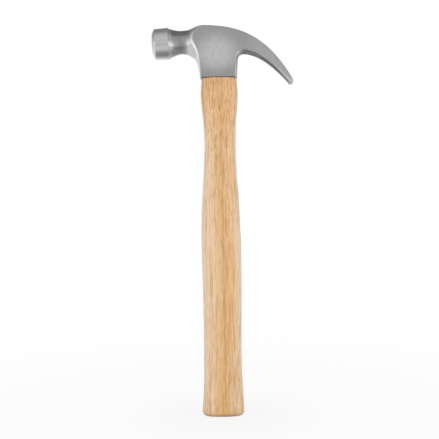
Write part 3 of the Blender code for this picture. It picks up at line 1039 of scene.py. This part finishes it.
    def block(self) -> Sections:
        """Flat cheeks over the socket, with the flare of the neck dying into them.

        Returns:
            Sections from the front of the cheeks to the root of the claws.
        """
        lower, upper = self.block_outline()
        share = (self.axis_height - lower[:, 1]) / (upper[:, 1] - lower[:, 1])
        share = np.clip(share, 0.0, self.core_limit)
        x = (lower[:, 0] + upper[:, 0]) / 2.0
        tight = np.maximum(falling(*self.mouth_fade, lower[:, 1]), rising(*self.round_fade, lower[:, 0]))
        return Sections(
            lower=lower,
            upper=upper,
            core=mixed(lower, upper, share[:, None]),
            half_width=self.cheek,
            spread=self.low_spread(x),
            top_spread=self.top_spread(x),
            top_power=self.top_power(x),
            low_round=mixed(self.low_round, self.mouth_round, tight),
        )

    def claws(self) -> Sections:
        """Curved claws, thinning to their tips, with rounded ends.

        Returns:
            Sections from the root of the claws to their tips.
        """
        share = np.linspace(0.0, 1.0, 96)[1:]
        lower, upper = self.claw_lines(share)
        width = mixed(self.cheek, self.tip_width, rising(*self.claw_taper, share))
        onward = np.sin(np.linspace(0.0, QUARTER, 12))[1:] * self.tip_end
        shrink = ((1.0 - onward**self.tip_power) ** (1.0 / self.tip_power))[:, None]
        half = (upper[-1] - lower[-1]) / 2.0
        middle = (upper[-1] + lower[-1]) / 2.0 + np.outer(onward, self.tip_way) * self.tip_length
        lower = np.concatenate((lower, middle - half * shrink))
        upper = np.concatenate((upper, middle + half * shrink))
        width = np.concatenate((width, self.tip_width - self.tip_taper * (1.0 - shrink[:, 0])))
        share = np.concatenate((share, np.ones(len(onward))))
        limit = self.round_limit * np.linalg.norm(upper - lower, axis=1)
        blunt = self.tip_blunt * rising(*self.blunt_shift, share)
        low_round = self.mouth_round + self.claw_round * rising(*self.round_shift, share) - blunt
        middle = mixed(*self.claw_core, rising(*self.core_shift, share))
        return Sections(
            lower=lower,
            upper=upper,
            core=mixed(lower, upper, middle[:, None]),
            half_width=width,
            spread=1.0,
            top_spread=self.top_widths[-1][1],
            top_power=self.top_powers[-1][1],
            low_round=np.minimum(low_round, limit),
            top_round=np.minimum(Sections.top_round - blunt, limit),
        )

    def rectangles(self, cut: Sections) -> tuple[Array, Array]:
        """Near half of each section as a rounded rectangle with a domed side, from its bottom to its top.

        Args:
            cut: Sections of the head.

        Returns:
            Heights over the core and half widths, a row for each section.
        """
        top = cut.reach(cut.upper) * cut.slack[:, None]
        bottom = cut.reach(cut.lower) * cut.slack[:, None]
        wide = cut.half_width[:, None]
        edge = wide - self.dome
        low = cut.low_round[:, None]
        high = cut.top_round[:, None]
        rim = np.linspace(0.0, 1.0, RIM_POINTS, endpoint=False)
        angle = np.linspace(0.0, QUARTER, CORNER_POINTS)
        side = np.linspace(-1.0, 1.0, SIDE_POINTS)[1:-1]
        middle = (top - high - bottom + low) / 2.0
        reach = (top - high + bottom - low) / 2.0
        p = np.concatenate((
            -bottom + 0.0 * rim,
            -bottom + low * (1.0 - np.cos(angle)),
            middle + reach * side,
            top - high * (1.0 - np.sin(angle)),
            top + 0.0 * rim,
        ), axis=1)
        q = np.concatenate((
            (edge - low) * rim,
            edge - low * (1.0 - np.sin(angle)),
            wide - self.dome * side**2,
            edge - high * (1.0 - np.cos(angle)),
            (edge - high) * (1.0 - rim - 1.0 / RIM_POINTS),
        ), axis=1)
        bevelled = np.concatenate((rim, np.ones(p.shape[1] - 2 * RIM_POINTS), 0.0 * rim))
        q -= self.bevel_cut(cut.core[:, None] + cut.rise()[:, None] * p[..., None]) * bevelled
        q[:, -1] = 0.0
        return p, q

    def surface(self) -> Array:
        """Rings of the whole head.

        Each section is a rounded rectangle between its lower and upper point. Seen from its core,
        its radius is the smaller of that rectangle's and of an ellipse's, which is faceted like an
        octagon on the neck and grows past the rectangle behind it.

        Returns:
            Points as rows of rings, of shape (rings, points, 3).
        """
        cut = self.poll() + self.neck() + self.block() + self.claws()
        p, q = self.rectangles(cut)
        turn = np.arctan2(q, p)
        c, s = np.cos(turn), np.sin(turn)
        reach = np.where(c > 0.0, cut.reach(cut.upper), cut.reach(cut.lower))
        share = rising(*self.upper_half, c)
        spread = cut.spread[:, None] * (1.0 - share) + cut.top_spread[:, None] * share
        power = 2.0 * (1.0 - share) + cut.top_power[:, None] * share
        ellipse = (np.abs(c / reach) ** power + np.abs(s / spread) ** power) ** (-1.0 / power)
        flats = np.arange(FLATS) * (2.0 * math.pi / FLATS)
        facing = np.maximum(np.cos(turn[..., None] - flats), 0.0)
        octagon = np.sum(facing**FLAT_POWER, axis=-1) ** (-1.0 / FLAT_POWER)
        ellipse *= 1.0 + cut.facets[:, None] * (octagon - 1.0)
        crease = self.crease_width - self.crease_loss * rising(*self.crease_fade, cut.core[:, 0])
        width = crease[:, None] * (1.0 + self.crease_low * (1.0 - share))
        radius = soft_min(np.hypot(p, q), ellipse, width)
        flat = cut.core[:, None] + cut.rise()[:, None] * (radius * c)[..., None]
        near = upright(flat, -radius * s)
        return np.concatenate((near, near[:, -2:0:-1] * (1.0, -1.0, 1.0)), axis=1)

    def eye_cutter(self) -> Piece:
        """Tapered eye: superellipses that widen toward the crown.

        Returns:
            The cutter.
        """
        c, s = superellipse(96, 2.0 / self.eye.square)
        height = np.array((self.mouth - self.cut_margin, CROWN + self.cut_margin))
        long, wide = self.eye.reaches((height - self.mouth) / (CROWN - self.mouth))
        z = np.repeat(height[:, None], len(c), axis=1)
        rings = np.stack((np.outer(long, c), np.outer(wide, s), z), axis=-1)
        return lofted("eye_cut", rings, rings[0].mean(axis=0), rings[1].mean(axis=0))

    def slot_cutter(self) -> Piece:
        """Nail slot: a trapezoid carried along the claws, wider toward the tips and the concave side.

        Returns:
            The cutter.
        """
        bend = self.slot_bend
        share = np.concatenate((np.linspace(0.0, bend, 8), np.linspace(bend, 1.0, 30)[1:]))
        inner, outer = self.claw_lines(mixed(self.slot_root, 1.0, share))
        thick = np.linalg.norm(outer - inner, axis=1)
        margin = (outer - inner) / thick[:, None] * self.cut_margin
        inner = np.concatenate((inner - margin, inner[-1:] - margin[-1:] + self.slot_way))
        outer = np.concatenate((outer + margin, outer[-1:] + margin[-1:] + self.slot_way))
        thick = np.append(thick, thick[-1]) + 2.0 * self.cut_margin
        share = np.append(share, self.slot_past)
        bent = np.clip(share / bend, 0.0, 1.0)
        ends = np.maximum(np.sqrt(bent * (2.0 - bent)), self.slot_least)
        narrow = mixed(*self.slot_narrow, share) * ends
        wide = narrow + thick * self.slot_flare * ends
        corners = ((outer, narrow), (outer, -narrow), (inner, -wide), (inner, wide))
        rings = np.stack([upright(line, y) for line, y in corners], axis=1)
        return lofted("nail_slot_cut", rings, rings[0].mean(axis=0), rings[-1].mean(axis=0))

    def build(self) -> Piece:
        """Surface of the head with the eye and the nail slot cut out, dressed in its steel.

        Returns:
            The finished piece.
        """
        rings = self.surface()
        start = upright(self.axis(np.array((self.face,)))[0], 0.0)
        piece = lofted("forged_head", rings, start, rings[-1].mean(axis=0))
        carve(piece, [self.eye_cutter(), self.slot_cutter()])
        Wear(self).paint(piece)
        mount(piece, self.finish.material(), "head")
        return piece


@dataclass
class Wear:
    """Where the finish of the head changes and where painted highlights lie, as shares stored on its
    points.
    """

    head: Head
    # Crease in front of the cheeks
    crease: Line = (
        (-0.0218, 0.3190), (-0.0211, 0.3152), (-0.0190, 0.3105), (-0.0178, 0.3067),
        (-0.0169, 0.3008), (-0.0164, 0.2958), (-0.0156, 0.2865),
    )
    brow: Line = ((-0.0222, 0.3200), (-0.0215, 0.3240), (-0.0175, 0.3290))
    cheek_border: Span = (-0.0006, 0.0010)
    # Forging skin
    skin: Span = (0.00015, 0.00055)
    skin_start: Span = (0.014, 0.021)
    skin_end: Span = (0.046, 0.060)
    skin_loss: float = 0.55  # at the tips
    # Rubbed edges, brightened further as painted highlights
    ridge_start: Span = (0.00005, 0.0004)
    ridge_end: Span = (0.0016, 0.0036)
    ridge_out: Span = (0.0095, 0.0115)
    ridge_rear: Span = (0.0150, 0.0195)
    crease_edge: Span = (0.0003, 0.0011)
    crease_out: Span = (0.0105, 0.0122)
    crease_top: Span = (0.3140, 0.3188)
    crease_low: Span = (0.2960, 0.3070)
    crease_least: float = 0.35  # what is left below that
    claw_edge: Span = (0.0004, 0.0011)
    claw_out: Span = (0.0065, 0.0100)
    claw_middle: Span = (0.029, 0.038)
    claw_end: Span = (0.040, 0.056)
    claw_rub: Point = (0.3, 0.4)  # what each of those two adds
    tip: Span = (0.0600, 0.0632)
    tip_rub: float = 0.7

    def cheek_faces(self, points: Array) -> Array:
        """Share of satin cheek: all that lies behind the crease in front of the cheeks."""
        line = np.array(self.crease[::-1] + self.brow)
        return rising(*self.cheek_border, points[:, 0] - np.interp(points[:, 2], line[:, 1], line[:, 0]))

    def rough_faces(self, points: Array) -> Array:
        """Share of rough forging skin: the claws' concave side, fading toward the rubbed tips.

        Args:
            points: Points of the head, one row each.

        Returns:
            One share for each point.
        """
        x = points[:, 0]
        skin = falling(*self.skin, gap_to_line(points[:, (0, 2)], self.head.under_line(1.0)))
        return skin * rising(*self.skin_start, x) * (1.0 - self.skin_loss * rising(*self.skin_end, x))

    def worn_edges(self, points: Array) -> Array:
        """Share of steel worn by rubbing and brightened as a painted highlight: the edges in front of and
        behind the cheeks, and the tips.

        Args:
            points: Points of the head, one row each.

        Returns:
            One share for each point.
        """
        x, out, z = points[:, 0], np.abs(points[:, 1]), points[:, 2]
        flat = points[:, (0, 2)]
        cut = self.head.bevel_cut(flat)
        ridge = rising(*self.ridge_start, cut) * falling(*self.ridge_end, cut)
        ridge *= rising(*self.ridge_out, out) * falling(*self.ridge_rear, x)
        crease = falling(*self.crease_edge, gap_to_line(flat, np.array(self.crease)))
        crease *= rising(*self.crease_out, out) * falling(*self.crease_top, z)
        crease *= mixed(self.crease_least, 1.0, rising(*self.crease_low, z))
        claw = falling(*self.claw_edge, gap_to_line(flat, self.head.under_line(1.0)))
        claw *= rising(*self.claw_out, out)
        middle, end = self.claw_rub
        claw *= middle * rising(*self.claw_middle, x) + end * rising(*self.claw_end, x)
        return np.max((ridge, claw, crease, self.tip_rub * rising(*self.tip, x)), axis=0)

    def paint(self, piece: Piece) -> None:
        """Stores the shares on the finished mesh.

        Args:
            piece: The head.
        """
        points = np.empty(3 * len(piece.data.vertices), dtype=np.float32)
        piece.data.vertices.foreach_get("co", points)
        points = points.reshape(-1, 3)
        rules = (self.cheek_faces, self.rough_faces, self.worn_edges)
        for name, rule in zip(("cheek_face", "rough_face", "worn_edge"), rules):
            layer = piece.data.attributes.new(name, "FLOAT", "POINT")
            layer.data.foreach_set("value", rule(points).astype(np.float32))


@dataclass
class Handle:
    """Wooden handle: flared butt, oval grip, slim throat, swelled shoulder and a tenon in the eye.

    Each station gives a height, the reach to the front, to the rear and to either side, and squareness.
    """

    stations: tuple[tuple[float, ...], ...] = (
        (0.0056, 0.0176, 0.0176, 0.0129, 2.5),
        (0.0210, 0.0165, 0.0170, 0.0123, 2.5),
        (0.0410, 0.0160, 0.0163, 0.0119, 2.5),
        (0.0620, 0.0159, 0.0162, 0.0118, 2.5),
        (0.1020, 0.0160, 0.0168, 0.0120, 2.5),
        (0.1430, 0.0168, 0.0170, 0.0123, 2.5),
        (0.1640, 0.0166, 0.0163, 0.0121, 2.5),
        (0.1840, 0.0157, 0.0156, 0.0117, 2.5),
        (0.2050, 0.0142, 0.0141, 0.0110, 2.5),
        (0.2300, 0.0132, 0.0135, 0.0105, 2.9),
        (0.2510, 0.0140, 0.0141, 0.0111, 3.2),
        (0.2610, 0.0151, 0.0151, 0.0116, 3.6),
        (0.2730, 0.0158, 0.0156, 0.0120, 4.0),
        (0.2857, 0.0148, 0.0148, 0.0119, 4.4),
    )
    butt_round: float = 0.0038
    throat: float = 0.25
    shoulder: float = 0.2863
    shoulder_round: float = 0.0006
    eye: Eye = Eye()
    fit: float = 0.00025
    recess: float = 0.0005  # of the tenon's end under the crown
    end_start: float = -0.0125
    end_slope: float = 0.008
    end_curve: float = 4.48
    end_rings: tuple[float, ...] = (0.8, 0.6, 0.4, 0.2)  # as shares of the tenon's section
    finish: LacqueredWood = LacqueredWood()

    def profile(self) -> list[Array]:
        """Heights, front, rear and side reaches and squareness from the butt to the shoulder.

        Returns:
            Five arrays of equal length.
        """
        table = np.array(self.stations)
        last = table[-1, 0]
        grip = np.linspace(self.butt_round, self.throat, 120)
        height = np.concatenate((grip, np.linspace(self.throat, last, 50)[1:]))
        turn = np.linspace(QUARTER, 0.0, 9)[:-1]
        low = self.butt_round * (1.0 - np.sin(turn))
        cut = self.butt_round * (1.0 - np.cos(turn))
        turn = np.linspace(0.0, QUARTER, 6)[1:]
        top = last + self.shoulder_round * np.sin(turn)
        trim = self.shoulder_round * (1.0 - np.cos(turn))
        *reaches, square = (smooth_curve(height, table[:, 0], column) for column in table.T[1:])
        sizes = [np.concatenate((reach[0] - cut, reach, reach[-1] - trim)) for reach in reaches]
        return [np.concatenate((low, height, top)), *sizes, np.pad(square, (len(low), len(top)), "edge")]

    def surface(self) -> Array:
        """Rings of the handle: superellipses with a reach of their own to the front and the rear.

        Returns:
            Points as rows of rings, of shape (rings, points, 3).
        """
        rise = np.linspace(0.0, 1.0, 8)
        long, wide = (reach - self.fit for reach in self.eye.reaches(rise))
        climb = mixed(self.shoulder, CROWN, rise)
        tenon = (climb, long, long, wide, np.full(len(rise), self.eye.square))
        rows = (np.concatenate(pair)[:, None] for pair in zip(self.profile(), tenon))
        height, front, rear, side, square = rows
        c, s = superellipse(128, 2.0 / square)
        x = np.where(c > 0.0, rear, front) * c
        y = side * s
        z = height + 0.0 * x
        z[-1] = self.end_height(x[-1])
        share = np.array(self.end_rings)[:, None]
        x = np.concatenate((x, share * x[-1]))
        y = np.concatenate((y, share * y[-1]))
        z = np.concatenate((z, self.end_height(x[-len(share):])))
        return np.stack((x, y, z), axis=-1)

    def end_height(self, x: Array | float) -> Array | float:
        """Height of the tenon's end: a parabola that falls with the crown, a little under it."""
        behind = x - self.end_start
        return CROWN - self.recess - self.end_slope * behind - self.end_curve * behind**2

    def build(self, cutters: list[Piece]) -> Piece:
        """Surface of the handle with the wedges' kerf and notches cut out, dressed in wood.

        Args:
            cutters: Shapes of the kerf and the notches.

        Returns:
            The finished piece.
        """
        end = np.array((0.0, 0.0, self.end_height(0.0)))
        piece = lofted("wooden_handle", self.surface(), np.zeros(3), end)
        carve(piece, cutters)
        mount(piece, self.finish.material("lacquered_wood"), "handle")
        return piece


@dataclass
class Wedges:
    """Wedges that spread the tenon: one of wood along the eye and two of steel across it."""

    handle: Handle
    wood_size: Point = (0.0249, 0.0042)
    wood_tip: Point = (0.0241, 0.0012)
    wood_depth: float = 0.028
    kerf_extra: float = 0.006
    steel_size: Point = (0.0026, 0.0115)
    steel_tip: Point = (0.0009, 0.0115)
    steel_depth: float = 0.016
    offset: float = 0.0062
    fit: float = 0.00012
    proud: float = 0.0002
    rings: Point = (0.6, 0.3)  # between the tip and the top, as shares of the depth
    ridge: float = 0.02  # share of the width at which the top closes
    cutter_rise: float = 0.003
    wood: LacqueredWood = LacqueredWood(cream=(0.50, 0.29, 0.14), tan=(0.40, 0.22, 0.09))
    metal: WedgeSteel = WedgeSteel()

    def taper(
        self, name: str, place: float, tip: Array, top: Array, depth: float, grow: float
    ) -> Piece:
        """Wedge under the tenon's end: rectangles that shrink in proportion to their depth.

        The top follows the tenon's end along X and closes on its own middle line.

        Args:
            name: Name of the object.
            place: Middle of the wedge along X.
            tip: Sizes along X and Y at the tip.
            top: Sizes along X and Y at the top.
            depth: Depth of the tip under the tenon's end.
            grow: Clearance on every side; above 0 for a cutter, which also runs past the end.

        Returns:
            Closed wedge.
        """
        rise = self.cutter_rise if grow > 0.0 else self.proud
        drop = np.array((depth + grow, *(share * depth for share in self.rings), -rise, -rise))
        size = mixed(top, tip, (drop / depth)[:, None]) / 2.0 + grow
        size[-1, 1] *= self.ridge
        along = np.linspace(1.0, -1.0, 15)
        near = np.stack((along, np.ones_like(along)), axis=1)
        flat = np.concatenate((near, -near))[None] * size[:, None] + (place, 0.0)
        z = self.handle.end_height(flat[..., 0]) - drop[:, None]
        rings = np.concatenate((flat, z[..., None]), axis=-1)
        end = np.array((place, 0.0, self.handle.end_height(place) + rise))
        return lofted(name, rings, rings[0].mean(axis=0), end)

    def wooden(self, name: str, grow: float, extra: float) -> Piece:
        """Wooden wedge, or its kerf when it is grown and has extra length along X."""
        tip, top = np.array((self.wood_tip, self.wood_size)) + (extra, 0.0)
        return self.taper(name, 0.0, tip, top, self.wood_depth, grow)

    def steel(self, name: str, place: Place, grow: float) -> Piece:
        """Steel wedge at one of the two places, or its notch when it is grown."""
        tip, top = np.array((self.steel_tip, self.steel_size))
        return self.taper(name, place.value * self.offset, tip, top, self.steel_depth, grow)

    def notches(self) -> list[Piece]:
        """Cutters round the steel wedges."""
        return [self.steel("notch_" + place.name, place, self.fit) for place in Place]

    def cutters(self) -> list[Piece]:
        """Kerf and notches for the handle."""
        return [self.wooden("kerf", self.fit, self.kerf_extra), *self.notches()]

    def build(self) -> list[Piece]:
        """Dressed wedges.

        Returns:
            The finished pieces.
        """
        wood = self.wooden("wood_wedge", 0.0, 0.0)
        carve(wood, self.notches())
        mount(wood, self.wood.material("wedge_wood"), "wooden_wedge")
        made = [wood]
        steel = self.metal.material()
        for place in Place:
            node = "steel_wedge_" + place.name.lower()
            piece = self.steel(node + "_dressed", place, 0.0)
            mount(piece, steel, node)
            made.append(piece)
        return made


@dataclass(frozen=True)
class Softbox:
    """Soft rectangular lamp: where it hangs, its width and height, and its watts."""

    name: str
    place: Vector
    size: Point
    power: float

    def hang(self, aim: Vector) -> None:
        """Adds the lamp to the scene.

        Args:
            aim: Point that it faces.
        """
        light = bpy.data.lights.new(self.name, "AREA")
        light.shape = "RECTANGLE"
        light.size, light.size_y = self.size
        light.energy = self.power
        made = added(self.name, light)
        made.location = self.place
        x, y, z = np.array(aim) - np.array(self.place)
        made.rotation_euler = (math.atan2(math.hypot(x, y), -z), 0.0, math.atan2(y, x) - QUARTER)


@dataclass
class Studio:
    """White floor, soft lamps and the camera."""

    # Camera
    camera_place: Vector = (-0.00121, -1.0, 0.16645)
    camera_roll: float = 0.0136
    lens: float = 96.3
    sensor: float = 36.0
    clip_end: float = 200.0
    # Floor
    floor_size: Span = (0.02, 30.0)
    floor_top: float = -0.0003
    floor_depth: float = 0.05
    floor_white: Colour = (0.88, 0.88, 0.88)
    floor_rough: float = 0.9
    floor_shape: Vector = (1.7, 1.0, 1.0)
    near_shade: Step = (0.04, 0.37, 0.72, 0.0)
    far_shade: Step = (0.60, 1.30, 0.0, 0.28)
    far_width: Step = (0.20, 0.60, 1.0, 0.0)
    far_white: Step = (0.08, 0.9, 0.92, 1.0)
    near_white: Step = (0.02, 0.16, 0.92, 1.0)
    # Room and lamps
    front: Vector = (0.0, -0.966, 0.259)
    bright: float = 0.92
    horizon: float = 1.0
    dark: float = 0.37
    front_wall: Span = (0.0, 0.9)  # cosines from the front
    side_walls: Step = (0.55, 0.85, 1.0, 0.0)
    wall_height: Span = (0.0, 0.60)
    aim: Vector = (0.0, 0.0, 0.2)
    lamps: tuple[Softbox, ...] = (
        Softbox("left_softbox", (-0.84, -0.93, 0.22), (0.80, 0.54), 1.65),
        Softbox("right_softbox", (0.88, -0.88, 0.22), (0.70, 0.54), 1.6),
    )

    def floor(self) -> None:
        """Round floor on two levels of rings, dressed in white."""
        angle = np.linspace(0.0, 2.0 * math.pi, 64, endpoint=False)
        radius = np.geomspace(*self.floor_size, 24)
        x = np.outer(radius, np.cos(angle))
        y = np.outer(radius, np.sin(angle))
        top = np.stack((x, y, np.full_like(x, self.floor_top)), axis=-1)
        start = np.array((0.0, 0.0, self.floor_top))
        fall = np.array((0.0, 0.0, self.floor_depth))
        piece = lofted("floor", np.concatenate((top, top[::-1] - fall)), start, start - fall)
        piece.data.materials.append(self.white())

    def white(self) -> Material:
        """Floor that the camera sees white, with a faint shadow, and that reflections see darker.

        Returns:
            The material.
        """
        paint = Paint("white_floor")
        paint.feed(Base_Color=self.floor_white, Roughness=self.floor_rough)
        spot = paint.stretched(self.floor_shape)
        reach = paint.node("VectorMath", spot, output="Value", operation="LENGTH")
        camera = paint.node("LightPath", output="Is Camera Ray")
        mirror = paint.node("LightPath", output="Is Glossy Ray")
        far = reach.span(*self.far_shade) * abs(paint.x).span(*self.far_width)
        white = reach.span(*self.far_white) * reach.span(*self.near_white)
        glow = paint.node("Emission", WHITE, (mirror * (reach.span(*self.near_shade) + far)).rest())
        lit = Wire(paint, paint.shader.outputs[0])
        mix = paint.node("MixShader", (camera * white).larger(mirror), lit, glow)
        paint.plug(paint.nodes["Material Output"].inputs["Surface"], mix)
        return paint.material

    def world(self) -> None:
        """White background for the camera, and a room that darkens upward for reflections."""
        world = bpy.data.worlds.new("studio")
        bpy.context.scene.world = world
        world.use_nodes = True
        sky = Graph(world.node_tree, "Generated")
        aim = sky.node("VectorMath", sky.place, self.front, output="Value", operation="DOT_PRODUCT")
        band = sky.z.span(*self.wall_height, self.horizon, self.dark) * aim.span(*self.side_walls)
        level = aim.span(*self.front_wall, self.dark, self.bright).larger(band)
        background = sky.nodes["Background"].inputs
        sky.plug(background["Color"], WHITE)
        sky.plug(background["Strength"], level.larger(sky.node("LightPath", output="Is Camera Ray")))

    def camera(self) -> None:
        """Camera at the height of the handle's middle, looking along +Y."""
        data = bpy.data.cameras.new("camera")
        data.lens = self.lens
        data.sensor_width = self.sensor
        data.clip_end = self.clip_end
        made = added("camera", data)
        made.location = self.camera_place
        made.rotation_euler = (QUARTER, self.camera_roll, 0.0)
        bpy.context.scene.camera = made

    def build(self) -> None:
        """Whole studio."""
        bpy.context.scene.view_settings.view_transform = "Standard"
        self.floor()
        self.world()
        for lamp in self.lamps:
            lamp.hang(self.aim)
        self.camera()


def main() -> None:
    """Builds the hammer piece by piece, then the studio round it."""
    logging.basicConfig(level=logging.INFO, format="%(name)s: %(message)s")
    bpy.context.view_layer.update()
    Head().build()
    handle = Handle()
    wedges = Wedges(handle)
    handle.build(wedges.cutters())
    wedges.build()
    Studio().build()


if __name__ == "__main__":
    main()
